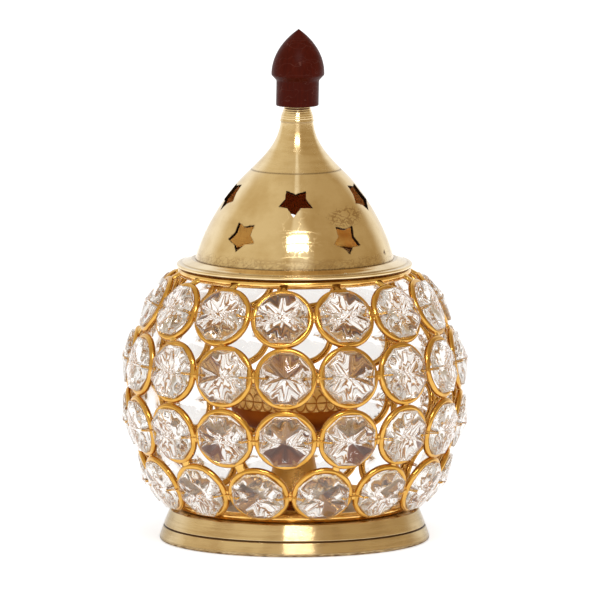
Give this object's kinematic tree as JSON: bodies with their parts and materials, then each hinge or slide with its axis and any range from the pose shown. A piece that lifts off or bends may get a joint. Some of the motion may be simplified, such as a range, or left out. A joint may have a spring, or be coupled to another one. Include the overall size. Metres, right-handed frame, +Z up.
{
  "type": "akhand diya",
  "caption": "Brass oil lamp with a pedestal oil bowl inside a lift-off cage of wired crystal beads, under a pierced dome lid with a turned knob.",
  "frame": {"origin": "centre of the lamp on the table plane, under the base", "axes": "+Z up along the lamp's axis, -Y towards the viewer of the picture, +X to the viewer's right"},
  "size_m": [0.0944, 0.0944, 0.1396],
  "materials": {
    "base_brass": "satin, finely brushed round",
    "dome_brass": "polished cast brass with fine pits",
    "bowl_brass": "satin, engraved band",
    "gold_wire": "bright gold-coloured wire",
    "solder": "bright drops",
    "crystal": "clear, faceted",
    "knob": "dark red-brown lacquer, satin",
    "steel": "plain",
    "cotton": "twisted cotton"
  },
  "bodies": {
    "stand": {"base": "base_brass", "pedestal": "bowl_brass", "pedestal_washer": "base_brass", "pedestal_nut": "base_brass", "oil_bowl": "bowl_brass"},
    "wick_insert": {"wick_holder": "bowl_brass", "cotton_wick": "cotton"},
    "cage": {"bottom_hoop": "gold_wire", "bottom_hoop_bridges": "solder", "top_hoop": "gold_wire", "top_hoop_bridges": "solder", "wire_rings_row_1": "gold_wire", "wire_rings_row_2": "gold_wire", "wire_rings_row_3": "gold_wire", "wire_rings_row_4": "gold_wire", "solder_row_1": "solder", "solder_row_2": "solder", "solder_row_3": "solder", "solder_row_4": "solder", "row_bridges_upper": "solder", "row_bridges_middle": "solder", "row_bridges_lower": "solder", "crystals_row_1": "crystal", "crystals_row_2": "crystal", "crystals_row_3": "crystal", "crystals_row_4": "crystal", "binding_wires_row_1": "gold_wire", "binding_wires_row_2": "gold_wire", "binding_wires_row_3": "gold_wire", "binding_wires_row_4": "gold_wire"},
    "lid": {"dome_rim": "dome_brass", "dome_shell": "dome_brass", "dome_neck": "dome_brass", "knob": "knob", "knob_screw": "steel", "knob_washer": "steel"}
  },
  "joints": [
    {"name": "wick_lift", "type": "slide", "parent": "stand", "child": "wick_insert", "axis": [0, 0, 1], "range_m": [0, 0.025]},
    {"name": "cage_lift", "type": "slide", "parent": "stand", "child": "cage", "axis": [0, 0, 1], "range_m": [0, 0.08]},
    {"name": "lid_lift", "type": "slide", "parent": "cage", "child": "lid", "axis": [0, 0, 1], "range_m": [0, 0.06]}
  ]
}
